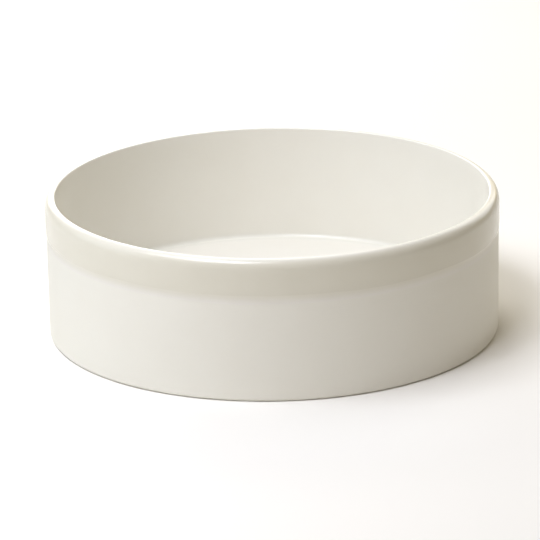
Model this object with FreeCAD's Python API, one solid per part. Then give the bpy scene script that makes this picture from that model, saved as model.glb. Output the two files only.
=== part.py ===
"""Low cylindrical incinerating dish in laboratory porcelain, in millimetres.

The dish is one fired porcelain body and the coat of glaze that it was dipped in.
The body is a flat-bottomed round tray with a straight wall and a shallow hollow under
the base, so that it stands on a ring. Its lip is rounded, more gently on the outside than
on the inside. The glaze lines the inside, goes over the lip and ends part-way down the
outside, where the dip stopped. Below that line and underneath, the porcelain is bare.

Frame: the origin is on the dish's axis at the level that it stands on, and +Z is up.
Each sub-part is written to parts/NODE.step.
"""
import FreeCAD, Part
import math
import os

# Driving dimensions. Diameters and heights are taken over the glaze.
dish_diameter = 100.0        # widest, across the glazed band
dish_height = 31.3           # from the table to the top of the lip
wall_thickness = 2.2         # across the glazed part of the wall
inside_depth = 26.4          # from the top of the lip down to the inside floor
glazed_band_depth = 9.6      # from the top of the lip down to the end of the glaze
glaze_thickness = 0.15       # a dipped coat after firing
lip_shoulder_width = 1.7     # the lip's rounding on the outside, measured across the wall
lip_shoulder_drop = 2.3      # the same rounding, measured down the wall
lip_fullness = 0.55          # how full that rounding is: 0.55 is a quarter ellipse, and 0 is a chamfer
inside_corner_radius = 1.1   # between the porcelain wall and floor, under the glaze
base_edge_radius = 0.8       # the sponged edge where the wall meets the base
foot_ring_width = 6.0        # the flat ring that touches the table
base_hollow_depth = 0.9      # how far the base inside that ring is raised
hollow_edge_run = 1.2        # how far the sloping edge of the hollow runs, across the base

# Sizes of the bare body, which is smaller than the dish by the coat of glaze.
body_outer_radius = dish_diameter / 2 - glaze_thickness
body_inner_radius = dish_diameter / 2 - wall_thickness + glaze_thickness
body_height = dish_height - glaze_thickness
body_floor_height = dish_height - inside_depth - glaze_thickness
glaze_line_height = dish_height - glazed_band_depth

# The lip's highest point, and how far its rounding on the inside reaches.
lip_crest_radius = body_outer_radius - lip_shoulder_width
lip_inside_radius = lip_crest_radius - body_inner_radius

# Centres of the rounded corners of the half-section, each as (radius, height).
lip_inside_centre = (lip_crest_radius, body_height - lip_inside_radius)
inside_corner_centre = (body_inner_radius - inside_corner_radius, body_floor_height + inside_corner_radius)
base_edge_centre = (body_outer_radius - base_edge_radius, base_edge_radius)

# The flat ring that the dish stands on, and the hollow inside it.
foot_inner_radius = base_edge_centre[0] - foot_ring_width
hollow_radius = foot_inner_radius - hollow_edge_run


def straight(start, end):
    """A straight edge of a half-section, which lies in the XZ plane."""
    return Part.makeLine((start[0], 0, start[1]), (end[0], 0, end[1]))


def rounded(centre, radius, start_deg, end_deg):
    """An arc of a half-section. Its angles turn from outwards (0) to straight up (90)."""
    def at(angle_deg):
        angle = math.radians(angle_deg)
        return FreeCAD.Vector(centre[0] + radius * math.cos(angle), 0, centre[1] + radius * math.sin(angle))

    return Part.Arc(at(start_deg), at((start_deg + end_deg) / 2), at(end_deg)).toShape()


def shoulder(cover):
    """The rounding on the outside of the lip, drawn from the wall up to the lip's crest."""
    width = lip_shoulder_width + cover
    drop = lip_shoulder_drop + cover
    wall_radius = body_outer_radius + cover
    crest_height = body_height + cover
    curve = Part.BezierCurve()
    curve.setPoles([
        FreeCAD.Vector(wall_radius, 0, crest_height - drop),
        FreeCAD.Vector(wall_radius, 0, crest_height - drop * (1 - lip_fullness)),
        FreeCAD.Vector(wall_radius - width * (1 - lip_fullness), 0, crest_height),
        FreeCAD.Vector(wall_radius - width, 0, crest_height),
    ])
    return curve.toShape()


def glazed_side(height, cover):
    """The edges from a height on the outside, over the lip, to the inside floor's centre.

    cover is how far they lie outside the porcelain: 0 for its own surface.
    """
    outer_radius = body_outer_radius + cover
    inner_radius = body_inner_radius - cover
    floor_height = body_floor_height + cover
    return [
        straight((outer_radius, height), (outer_radius, body_height - lip_shoulder_drop)),
        shoulder(cover),
        rounded(lip_inside_centre, lip_inside_radius + cover, 90, 180),
        straight((inner_radius, lip_inside_centre[1]), (inner_radius, inside_corner_centre[1])),
        rounded(inside_corner_centre, inside_corner_radius - cover, 0, -90),
        straight((inside_corner_centre[0], floor_height), (0, floor_height)),
    ]


def turned(edges):
    """The solid that a closed half-section sweeps in one turn about the dish's axis."""
    section = Part.Face(Part.Wire(edges))
    return section.revolve(FreeCAD.Vector(0, 0, 0), FreeCAD.Vector(0, 0, 1), 360)


def porcelain_body():
    """The fired body: base with its foot ring and hollow, straight wall and rounded lip."""
    underside = [
        straight((0, base_hollow_depth), (hollow_radius, base_hollow_depth)),
        straight((hollow_radius, base_hollow_depth), (foot_inner_radius, 0)),
        straight((foot_inner_radius, 0), (base_edge_centre[0], 0)),
        rounded(base_edge_centre, base_edge_radius, -90, 0),
    ]
    centre_of_floor = straight((0, body_floor_height), (0, base_hollow_depth))
    return turned(underside + glazed_side(base_edge_centre[1], 0) + [centre_of_floor])


def glaze_coat():
    """The coat of glaze: one skin from the line outside, over the lip, to the inside floor."""
    line_end_centre = (body_outer_radius, glaze_line_height + glaze_thickness)
    fused_face = glazed_side(glaze_line_height, 0)
    centre_of_floor = straight((0, body_floor_height), (0, body_floor_height + glaze_thickness))
    open_face = glazed_side(line_end_centre[1], glaze_thickness)
    line_end = rounded(line_end_centre, glaze_thickness, 0, -90)
    return turned(fused_face + [centre_of_floor] + open_face[::-1] + [line_end])


os.makedirs("parts", exist_ok=True)
for sub_part in (porcelain_body, glaze_coat):
    solid = sub_part()
    solid.exportStep(f"parts/{sub_part.__name__}.step")
    print(f"{sub_part.__name__}: {solid.Volume / 1000:.2f} cm3, valid {solid.isValid()}")
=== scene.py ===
import math

import bmesh
import bpy
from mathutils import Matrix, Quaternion, Vector


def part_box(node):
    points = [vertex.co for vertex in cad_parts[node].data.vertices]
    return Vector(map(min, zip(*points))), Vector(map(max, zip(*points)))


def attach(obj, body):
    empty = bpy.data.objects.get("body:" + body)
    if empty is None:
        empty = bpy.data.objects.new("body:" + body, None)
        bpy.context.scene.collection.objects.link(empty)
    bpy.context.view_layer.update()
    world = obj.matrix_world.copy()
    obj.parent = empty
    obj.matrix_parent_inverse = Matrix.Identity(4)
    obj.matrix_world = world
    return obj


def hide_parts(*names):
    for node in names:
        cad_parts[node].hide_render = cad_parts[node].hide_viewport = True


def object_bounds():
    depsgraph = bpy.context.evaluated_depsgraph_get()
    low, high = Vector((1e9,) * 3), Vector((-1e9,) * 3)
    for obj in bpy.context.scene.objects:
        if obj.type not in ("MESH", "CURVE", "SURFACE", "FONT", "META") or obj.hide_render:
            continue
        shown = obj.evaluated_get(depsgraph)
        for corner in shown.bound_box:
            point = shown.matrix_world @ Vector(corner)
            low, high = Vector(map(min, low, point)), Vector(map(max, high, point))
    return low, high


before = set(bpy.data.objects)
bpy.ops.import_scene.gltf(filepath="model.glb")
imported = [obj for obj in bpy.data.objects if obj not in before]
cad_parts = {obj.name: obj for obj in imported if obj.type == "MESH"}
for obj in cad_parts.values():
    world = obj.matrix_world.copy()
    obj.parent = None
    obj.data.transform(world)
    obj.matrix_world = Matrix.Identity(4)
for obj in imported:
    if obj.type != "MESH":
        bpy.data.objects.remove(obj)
cad_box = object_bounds()


# ---------------------------------------------------------------------------------------------
# The bare porcelain: base, straight wall and rounded lip in one piece of hard porcelain. It is
# turned in a plaster mould, its edges are sponged round while it is still soft, and it is fired
# until it is vitreous. The base is raised a little inside the ring that it stands on.
# ---------------------------------------------------------------------------------------------

body_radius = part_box("porcelain_body")[1].x
body_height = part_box("porcelain_body")[1].z
inside_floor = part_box("glaze_coat")[0].z
body_wall = 0.0019
lip_shoulder_width = 0.0017
lip_shoulder_drop = 0.0023
inside_corner = 0.0011
base_edge = 0.0008
foot_ring = 0.0060
hollow_depth = 0.0009
hollow_edge = 0.0012
oval = 0.0012               # a fired dish is never quite round: this much wider than it is deep
rim_wave = 0.00015          # the most that the rim's level ranges over
rim_wave_length = 0.060
glaze_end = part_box("glaze_coat")[1].z - 0.0096

sides = 256
hold = 0.0003               # from the end of a rounding to the ring that keeps it crisp
rounding_share = 0.98       # the lip's two roundings stop just short of each other
wall_steps = 24
floor_rings = 14
floor_ring_width = 0.003
crease_angle = math.radians(50)


def pick(kind, wanted):
    """In edit mode, selects only the faces or edges that wanted says yes to."""
    bpy.ops.mesh.select_mode(type={"faces": "FACE", "edges": "EDGE"}[kind])
    bpy.ops.mesh.select_all(action="DESELECT")
    mesh = bmesh.from_edit_mesh(bpy.context.edit_object.data)
    for part in getattr(mesh, kind):
        part.select_set(wanted(part))
    bmesh.update_edit_mesh(bpy.context.edit_object.data)


def pick_rings(*rings):
    """In edit mode, selects the edges that run round the dish at each (radius, height)."""
    def runs_along(edge, radius, height):
        return all(
            abs(vert.co.xy.length - radius) < hold / 3 and abs(vert.co.z - height) < hold / 3
            for vert in edge.verts
        )

    pick("edges", lambda edge: any(runs_along(edge, *ring) for ring in rings))


def is_outside(face):
    """Whether a face is on the outside of the wall or of the lip."""
    return face.calc_center_median().xy.length > body_radius - lip_shoulder_width


def weigh(piece, name, weight_of):
    """Gives the piece a vertex group, with each point's weight worked out from its place."""
    group = piece.vertex_groups.new(name=name)
    for vert in piece.data.vertices:
        group.add([vert.index], min(1.0, max(0.0, weight_of(vert.co))), "REPLACE")
    return group


def shift_up_and_down(piece, name, group, wave_length, height):
    """Moves the piece's points up and down in slow waves, over a range of at most height."""
    cloud = bpy.data.textures.new(name, "CLOUDS")
    cloud.noise_scale = wave_length
    cloud.noise_depth = 1
    wave = piece.modifiers.new(name, "DISPLACE")
    wave.texture = cloud
    wave.texture_coords = "LOCAL"
    wave.direction = "Z"
    wave.vertex_group = group.name
    wave.mid_level = 0.5
    wave.strength = height
    bpy.ops.object.modifier_apply(modifier=name)


bpy.ops.object.select_all(action="DESELECT")
bpy.ops.mesh.primitive_cylinder_add(
    vertices=sides, radius=body_radius, depth=body_height, location=(0, 0, body_height / 2)
)
bare_porcelain = bpy.context.object
bare_porcelain.name = "bare_porcelain"
bpy.ops.object.transform_apply(location=True, rotation=False, scale=False)
bpy.ops.object.mode_set(mode="EDIT")

# The inside is hollowed from the top, and the base is raised from below.
pick("faces", lambda face: face.normal.z > 0.9)
bpy.ops.mesh.inset(thickness=body_wall)
bpy.ops.mesh.extrude_region_move(TRANSFORM_OT_translate={"value": (0, 0, inside_floor - body_height)})
pick("faces", lambda face: face.normal.z < -0.9)
bpy.ops.mesh.inset(thickness=base_edge + foot_ring)
bpy.ops.mesh.inset(thickness=hollow_edge, depth=-hollow_depth)

# The edges are sponged round. The lip's two roundings meet at its crest, and the outside one is
# then drawn down the wall.
inner_radius = body_radius - body_wall
lip_crest = body_radius - lip_shoulder_width
foot_inner_radius = body_radius - base_edge - foot_ring
pick_rings((body_radius, body_height))
bpy.ops.mesh.bevel(offset=lip_shoulder_width * rounding_share, segments=14, profile=0.5, affect="EDGES")
pick_rings((inner_radius, body_height))
bpy.ops.mesh.bevel(
    offset=(lip_crest - inner_radius) * rounding_share, segments=6, profile=0.5, affect="EDGES"
)
lip_start = body_height - lip_shoulder_width
pick("faces", lambda face: is_outside(face) and face.calc_center_median().z > lip_start)
bpy.ops.transform.resize(
    value=(1, 1, lip_shoulder_drop / lip_shoulder_width), center_override=(0, 0, body_height)
)
pick_rings((inner_radius, inside_floor))
bpy.ops.mesh.bevel(offset=inside_corner, segments=10, profile=0.5, affect="EDGES")
pick_rings((body_radius, 0))
bpy.ops.mesh.bevel(offset=base_edge, segments=6, profile=0.5, affect="EDGES")
pick_rings((foot_inner_radius, 0), (foot_inner_radius - hollow_edge, hollow_depth))
bpy.ops.mesh.bevel(offset=hollow_edge / 3, segments=3, profile=0.5, affect="EDGES")

# Rings round the wall: one where each rounding ends, so that it stays crisp, one at the line
# where the glaze will end and one just above it, and the rest evenly between.
wall_top = body_height - lip_shoulder_drop
wall_rings = [base_edge + hold, glaze_end, glaze_end + 2 * hold, wall_top - hold]
ring_gap = (wall_top - base_edge) / wall_steps
wall_rings += [base_edge + ring_gap * step for step in range(1, wall_steps)]
for height in wall_rings:
    bpy.ops.mesh.select_all(action="SELECT")
    bpy.ops.mesh.bisect(plane_co=(0, 0, height), plane_no=(0, 0, 1))

# Rings across the inside floor and the base, each closed with a pole at the middle.
for facing in (1, -1):
    pick("faces", lambda face: len(face.verts) == sides and face.normal.z * facing > 0.9)
    bpy.ops.mesh.inset(thickness=hold)
    for ring in range(floor_rings):
        bpy.ops.mesh.inset(thickness=floor_ring_width)
    bpy.ops.mesh.poke()
bpy.ops.mesh.select_all(action="SELECT")
bpy.ops.transform.resize(value=(1, 1 - oval, 1))
bpy.ops.object.mode_set(mode="OBJECT")
bpy.ops.object.shade_smooth_by_angle(angle=crease_angle)

# The heat of the kiln leaves the rim very slightly out of level.
rising = weigh(bare_porcelain, "rising", lambda place: place.z / body_height)
shift_up_and_down(bare_porcelain, "kiln_warp", rising, rim_wave_length, rim_wave)


def linear(hex_colour):
    """An sRGB colour written as six hex digits, turned to the linear red, green, blue and alpha."""
    parts = [int(hex_colour[place:place + 2], 16) / 255 for place in (0, 2, 4)]
    curved = [part / 12.92 if part <= 0.04045 else ((part + 0.055) / 1.055) ** 2.4 for part in parts]
    return curved + [1.0]


def per_metre(millimetres):
    """The scale that makes a pattern's features this many millimetres across."""
    return 1000 / millimetres


def add(tree, kind, inputs=None, **settings):
    """Adds a node. Settings are its own options, and inputs are its sockets' values or links."""
    made = tree.nodes.new(kind)
    for name, value in settings.items():
        setattr(made, name, value)
    for name, value in (inputs or {}).items():
        if isinstance(value, bpy.types.NodeSocket):
            tree.links.new(value, made.inputs[name])
        else:
            made.inputs[name].default_value = value
    return made


def dots(tree, place, cell, share, radius):
    """Small round dots, at most one in each cell of a loose grid and only in a share of them.

    All sizes are in millimetres. The result is 1 in a dot and 0 elsewhere, with a soft edge.
    """
    cells = add(tree, "ShaderNodeTexVoronoi", {"Vector": place, "Scale": per_metre(cell), "Randomness": 1.0})
    luck = add(tree, "ShaderNodeSeparateColor", {"Color": cells.outputs["Color"]})
    kept = add(tree, "ShaderNodeMath", {0: luck.outputs["Red"], 1: share}, operation="LESS_THAN")
    reach = add(tree, "ShaderNodeMath", {0: luck.outputs["Green"], 1: radius / cell}, operation="MULTIPLY")
    near = add(tree, "ShaderNodeMapRange", {
        "Value": cells.outputs["Distance"], "From Min": 0.0, "From Max": reach.outputs["Value"],
        "To Min": 1.0, "To Max": 0.0,
    }, interpolation_type="SMOOTHSTEP")
    return add(tree, "ShaderNodeMath", {
        0: near.outputs["Result"], 1: kept.outputs["Value"],
    }, operation="MULTIPLY").outputs["Value"]


def from_axis(tree, place):
    """How far each place on the surface is from the dish's axis, in metres."""
    level = add(tree, "ShaderNodeVectorMath", {0: place, 1: (1.0, 1.0, 0.0)}, operation="MULTIPLY")
    return add(tree, "ShaderNodeVectorMath", {0: level.outputs["Vector"]}, operation="LENGTH").outputs["Value"]


def height_of(tree, place):
    """How high each place on the surface is above the bench, in metres."""
    return add(tree, "ShaderNodeSeparateXYZ", {"Vector": place}).outputs["Z"]


def blend(tree, factor, first, second):
    """Mixes two colours, from the first at 0 to the second at 1."""
    mixed = add(tree, "ShaderNodeMix", {"Factor": factor}, data_type="RGBA")
    for name, colour in (("A", first), ("B", second)):
        socket = next(each for each in mixed.inputs if each.name == name and each.type == "RGBA")
        if isinstance(colour, bpy.types.NodeSocket):
            tree.links.new(colour, socket)
        else:
            socket.default_value = linear(colour)
    return next(each for each in mixed.outputs if each.type == "RGBA")


# How high the foot's wear and its painted contact shade reach up from the bench.
foot_wear_and_shade_height = 0.0005
skin_height = 0.000006      # the level marks and the grain are at most this high


def fired_unglazed_porcelain():
    """Hard porcelain fired bare: dense and off-white, with a matt skin as fine as eggshell.

    The eye sees soft shading with no clear highlight, faint level marks from the sponge and the
    turning tool, and here and there a pinprick of iron. The ring it stands on is rubbed smoother.
    """
    material = bpy.data.materials.new("fired_unglazed_porcelain")
    material.use_nodes = True
    tree = material.node_tree
    shader = tree.nodes["Principled BSDF"]
    shader.inputs["IOR"].default_value = 1.5
    place = add(tree, "ShaderNodeTexCoord").outputs["Object"]
    height = height_of(tree, place)

    # The fired clay is a shade creamier in slow patches some 12 mm across, with pinpricks of iron
    # at most 0.2 mm across.
    patches = add(tree, "ShaderNodeTexNoise", {"Vector": place, "Scale": per_metre(12), "Detail": 2.0})
    clay = blend(tree, patches.outputs["Fac"], "F1EFE6", "EFECE2")
    specks = dots(tree, place, 6, 0.22, 0.2)
    clay = blend(tree, specks, clay, "B5A68C")

    # Scuffed grey over the lowest half millimetre: wear on the ring that it stands on, and painted contact
    # shade along the foot of the wall.
    foot_wear_and_shade = add(tree, "ShaderNodeMapRange", {
        "Value": height, "From Min": 0.0, "From Max": foot_wear_and_shade_height, "To Min": 1.0, "To Max": 0.0,
    })
    scuffs = add(tree, "ShaderNodeTexNoise", {"Vector": place, "Scale": per_metre(3), "Detail": 4.0})
    scuffs_and_shade = add(tree, "ShaderNodeMath", {
        0: scuffs.outputs["Fac"], 1: foot_wear_and_shade.outputs["Result"],
    }, operation="MULTIPLY").outputs["Value"]
    tree.links.new(blend(tree, scuffs_and_shade, clay, "D8D3C8"), shader.inputs["Base Color"])
    tree.links.new(add(tree, "ShaderNodeMapRange", {
        "Value": scuffs_and_shade, "From Min": 0.0, "From Max": 1.0, "To Min": 0.72, "To Max": 0.45,
    }).outputs["Result"], shader.inputs["Roughness"])

    # Level marks run round the wall and the base, some 0.8 mm apart. They are noise that is drawn
    # out round the axis: fast along the section, and slow around it.
    around = add(tree, "ShaderNodeCombineXYZ", {"X": from_axis(tree, place)}).outputs["Vector"]
    section = add(tree, "ShaderNodeVectorMath", {
        0: place, 1: (0.03, 0.03, 1.0), 2: around,
    }, operation="MULTIPLY_ADD").outputs["Vector"]
    marks = add(tree, "ShaderNodeTexNoise", {"Vector": section, "Scale": per_metre(0.8), "Detail": 1.0})
    # The grain of real porcelain is under 0.1 mm. It is coarsened to 0.35 mm here.
    grain = add(tree, "ShaderNodeTexNoise", {"Vector": place, "Scale": per_metre(0.35), "Detail": 2.0})
    marked = add(tree, "ShaderNodeBump", {
        "Height": marks.outputs["Fac"], "Strength": 1.0, "Distance": skin_height,
    })
    grained = add(tree, "ShaderNodeBump", {
        "Height": grain.outputs["Fac"], "Strength": 1.0, "Distance": skin_height,
        "Normal": marked.outputs["Normal"],
    })
    tree.links.new(grained.outputs["Normal"], shader.inputs["Normal"])
    return material


bare_porcelain.data.materials.append(fired_unglazed_porcelain())
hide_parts("porcelain_body")
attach(bare_porcelain, "root")


# ---------------------------------------------------------------------------------------------
# The dipped glaze: a coat of clear feldspar glaze, one skin from the inside floor, up the wall,
# over the lip and down the outside. The dish is dipped upside down, so it ends in a nearly
# level line, where the coat thins out. It melts on to the porcelain in the kiln.
# ---------------------------------------------------------------------------------------------

glaze_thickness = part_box("glaze_coat")[1].z - body_height
thin_end = 0.05             # the coat's thickness at its end, as a share of its full thickness
thinning = 0.0024           # how far above its end the coat starts to thin out
end_wave = 0.0006           # the most that the end's line ranges over, up and down
end_wave_length = 0.018
end_wave_reach = 0.003      # how far above the end the wave has died out

bpy.ops.object.select_all(action="DESELECT")
bare_porcelain.select_set(True)
bpy.context.view_layer.objects.active = bare_porcelain
bpy.ops.object.duplicate()
dipped_glaze = bpy.context.object
dipped_glaze.name = "dipped_glaze"
dipped_glaze.data.materials.clear()
dipped_glaze.vertex_groups.clear()
for note in list(dipped_glaze.keys()):
    del dipped_glaze[note]


def is_bare(face):
    """Whether a face of the porcelain is one that the glaze doesn't reach."""
    height = face.calc_center_median().z
    return height < inside_floor - hold or (is_outside(face) and height < glaze_end)


bpy.ops.object.mode_set(mode="EDIT")
pick("faces", is_bare)
bpy.ops.mesh.delete(type="FACE")
bpy.ops.object.mode_set(mode="OBJECT")


def nearness_to_the_end(place):
    """1 at the glaze's end on the outside, falling to 0 some way above it and inside."""
    outside = place.xy.length > lip_crest
    return 1 - (place.z - glaze_end) / end_wave_reach if outside else 0.0


near_the_end = weigh(dipped_glaze, "near_the_end", nearness_to_the_end)
full_coat = weigh(
    dipped_glaze, "full_coat", lambda place: (1 - nearness_to_the_end(place)) * end_wave_reach / thinning
)
shift_up_and_down(dipped_glaze, "dip_line", near_the_end, end_wave_length, end_wave)
coat = dipped_glaze.modifiers.new("coat", "SOLIDIFY")
coat.thickness = glaze_thickness
coat.offset = 1.0
coat.use_even_offset = True
coat.vertex_group = full_coat.name
coat.thickness_vertex_group = thin_end
bpy.ops.object.modifier_apply(modifier=coat.name)
bpy.ops.object.shade_smooth_by_angle(angle=crease_angle)


outside_run = 0.0014           # from the lip's crest to where the painted shade on the outside is full
pool_width = 0.0035         # how far from the wall the pooled coat starts to show
pool_full = 0.0008          # how far from the wall it shows most
pool_height = 0.0018
swell_height = 0.00001      # the swells are at most this high
pinhole_depth = 0.00003


def clear_glaze_on_porcelain():
    """Clear feldspar glaze, melted on: hard and smooth, with the warm white of the body below.

    The eye sees soft satin reflections on a surface that isn't perfectly flat, like the skin of an
    orange, with a few pinholes. The band outside is painted darker than the inside and than the
    bare porcelain under it, as painted shade. Where the coat thins out it fades to bare.
    """
    material = bpy.data.materials.new("clear_glaze_on_porcelain")
    material.use_nodes = True
    tree = material.node_tree
    shader = tree.nodes["Principled BSDF"]
    shader.inputs["IOR"].default_value = 1.5
    place = add(tree, "ShaderNodeTexCoord").outputs["Object"]
    radius = from_axis(tree, place)
    height = height_of(tree, place)

    # Slow patches, some 9 mm across, and painted shade that darkens the band on the outside.
    patches = add(tree, "ShaderNodeTexNoise", {"Vector": place, "Scale": per_metre(9), "Detail": 2.0})
    inside = blend(tree, patches.outputs["Fac"], "EDEBE3", "EBE8DF")
    shaded_band = blend(tree, patches.outputs["Fac"], "E3DFD1", "E1DDCE")
    outside = add(tree, "ShaderNodeMapRange", {
        "Value": radius, "From Min": lip_crest, "From Max": lip_crest + outside_run,
        "To Min": 0.0, "To Max": 1.0,
    }, interpolation_type="SMOOTHSTEP").outputs["Result"]
    tint_and_shade = blend(tree, outside, inside, shaded_band)

    # The coat pools where the wall meets the floor, and looks a shade greener there.
    in_corner = add(tree, "ShaderNodeMapRange", {
        "Value": radius, "From Min": inner_radius - pool_width, "From Max": inner_radius - pool_full,
        "To Min": 0.0, "To Max": 0.5,
    }, interpolation_type="SMOOTHSTEP").outputs["Result"]
    near_floor = add(tree, "ShaderNodeMapRange", {
        "Value": height, "From Min": inside_floor, "From Max": inside_floor + pool_height,
        "To Min": 1.0, "To Max": 0.0,
    }, interpolation_type="SMOOTHSTEP").outputs["Result"]
    pooled = add(tree, "ShaderNodeMath", {0: in_corner, 1: near_floor}, operation="MULTIPLY").outputs["Value"]
    tint_and_shade = blend(tree, pooled, tint_and_shade, "E2E2D8")

    # The thin end fades to the bare porcelain's colour and its matt skin.
    ending = add(tree, "ShaderNodeMapRange", {
        "Value": height, "From Min": glaze_end - end_wave / 3, "From Max": glaze_end + thinning,
        "To Min": 1.0, "To Max": 0.0,
    }, interpolation_type="SMOOTHSTEP").outputs["Result"]
    faded = add(tree, "ShaderNodeMath", {0: ending, 1: outside}, operation="MULTIPLY").outputs["Value"]
    tint_and_shade = blend(tree, faded, tint_and_shade, "F1EEE7")

    # Pinholes, where a bubble burst as the glaze melted.
    pinholes = dots(tree, place, 9, 0.3, 0.2)
    tree.links.new(blend(tree, pinholes, tint_and_shade, "C9C2B2"), shader.inputs["Base Color"])

    # Wear makes the gloss uneven, in patches some 20 mm across.
    gloss = add(tree, "ShaderNodeTexNoise", {"Vector": place, "Scale": per_metre(20), "Detail": 3.0})
    roughness = add(tree, "ShaderNodeMapRange", {
        "Value": gloss.outputs["Fac"], "From Min": 0.3, "From Max": 0.7, "To Min": 0.19, "To Max": 0.25,
    }).outputs["Result"]
    matt = add(tree, "ShaderNodeMath", {0: faded, 1: 0.5}, operation="MULTIPLY").outputs["Value"]
    tree.links.new(
        add(tree, "ShaderNodeMath", {0: roughness, 1: matt}, operation="ADD").outputs["Value"],
        shader.inputs["Roughness"],
    )

    # The skin of an orange: swells some 2.5 mm across and a few thousandths of a millimetre high.
    swells = add(tree, "ShaderNodeTexNoise", {"Vector": place, "Scale": per_metre(2.5), "Detail": 1.0})
    swollen = add(tree, "ShaderNodeBump", {
        "Height": swells.outputs["Fac"], "Strength": 1.0, "Distance": swell_height,
    })
    pitted = add(tree, "ShaderNodeBump", {
        "Height": pinholes, "Strength": 1.0, "Distance": pinhole_depth,
        "Normal": swollen.outputs["Normal"],
    }, invert=True)
    tree.links.new(pitted.outputs["Normal"], shader.inputs["Normal"])
    return material


dipped_glaze.data.materials.append(clear_glaze_on_porcelain())
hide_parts("glaze_coat")
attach(dipped_glaze, "root")


# ---------------------------------------------------------------------------------------------
# The set: a pale bench top, soft light from large panels, and the camera. None of it is part of
# the dish.
# ---------------------------------------------------------------------------------------------

bench_width = 6.0

bpy.ops.object.select_all(action="DESELECT")
bpy.ops.mesh.primitive_plane_add(size=bench_width)
bench_top = bpy.context.object
bench_top.name = "bench_top"


def matt_white_board():
    """Smooth white card with no gloss, very slightly warm and uneven in tone."""
    material = bpy.data.materials.new("matt_white_board")
    material.use_nodes = True
    tree = material.node_tree
    shader = tree.nodes["Principled BSDF"]
    place = add(tree, "ShaderNodeTexCoord").outputs["Object"]
    tone = add(tree, "ShaderNodeTexNoise", {"Vector": place, "Scale": per_metre(80)})
    card = blend(tree, tone.outputs["Fac"], "F6F4F0", "F5F3EE")
    tree.links.new(card, shader.inputs["Base Color"])
    shader.inputs["Roughness"].default_value = 0.9
    shader.inputs["Specular IOR Level"].default_value = 0.0
    return material


bench_top.data.materials.append(matt_white_board())

dish_centre = (Vector(cad_box[0]) + Vector(cad_box[1])) / 2


def light_panel(name, azimuth, elevation, distance, size, power, colour):
    """A square light panel that faces the dish. Azimuth 0 is in front, and 90 is to the right."""
    turn = math.radians(azimuth)
    rise = math.radians(elevation)
    away = Vector((math.sin(turn) * math.cos(rise), -math.cos(turn) * math.cos(rise), math.sin(rise)))
    lamp = bpy.data.lights.new(name, "AREA")
    lamp.shape = "SQUARE"
    lamp.size = size
    lamp.energy = power
    lamp.color = colour
    panel = bpy.data.objects.new(name, lamp)
    panel.location = dish_centre + away * distance
    panel.rotation_mode = "QUATERNION"
    panel.rotation_quaternion = away.to_track_quat("Z", "Y")
    bpy.context.scene.collection.objects.link(panel)
    return panel


# The key comes from the front and left, in two parts, and the left side gets a cool skylight. The
# back panels throw the soft shadow in front of the dish. Two wide warm sweeps stand behind it
# all, and the glazed edges reflect them.
light_panel("key_panel", -30, 60, 0.60, 0.20, 1.63, (0.895, 0.915, 1.0))
light_panel("near_key_panel", -60, 60, 0.30, 0.15, 0.47, (0.895, 0.92, 1.0))
light_panel("skylight_panel", -90, 25, 0.40, 0.25, 0.175, (0.6, 0.8, 1.0))
light_panel("back_left_panel", -165, 22, 0.40, 0.25, 0.58, (0.95, 0.97, 1.0))
light_panel("back_right_panel", 140, 25, 0.45, 0.25, 0.32, (0.90, 0.94, 1.0))
light_panel("overhead_panel", 180, 70, 0.35, 0.20, 0.24, (0.93, 0.945, 1.0))
light_panel("sweep_panel", 180, 14, 1.30, 1.40, 5.6, (1.0, 0.84, 0.5))
light_panel("side_sweep_panel", 135, 12, 1.30, 1.20, 1.3, (1.0, 0.87, 0.62))

# The room fills the shadows with a dim warm light.
room = bpy.data.worlds.new("room")
room.use_nodes = True
room.node_tree.nodes["Background"].inputs["Color"].default_value = (1.0, 0.77, 0.38, 1.0)
room.node_tree.nodes["Background"].inputs["Strength"].default_value = 0.12
bpy.context.scene.world = room
bpy.context.scene.view_settings.view_transform = "Standard"

camera_height_deg = 18.36
camera_distance = 0.8535
camera_lens = 257.0
camera_tilt_deg = -1.09
aim_aside = -0.00075
aim_up = -0.00286

rise = math.radians(camera_height_deg)
towards_camera = Vector((0, -math.cos(rise), math.sin(rise)))
upright = towards_camera.to_track_quat("Z", "Y")
aim = dish_centre + upright @ Vector((aim_aside, aim_up, 0))
camera_data = bpy.data.cameras.new("bench_camera")
camera_data.lens = camera_lens
camera_data.sensor_width = 36.0
camera_data.clip_start = 0.05
camera_data.clip_end = 20.0
camera = bpy.data.objects.new("bench_camera", camera_data)
camera.location = dish_centre + towards_camera * camera_distance
camera.rotation_mode = "QUATERNION"
facing_the_aim = (camera.location - aim).to_track_quat("Z", "Y")
camera.rotation_quaternion = facing_the_aim @ Quaternion((0, 0, 1), math.radians(camera_tilt_deg))
bpy.context.scene.collection.objects.link(camera)
bpy.context.scene.camera = camera
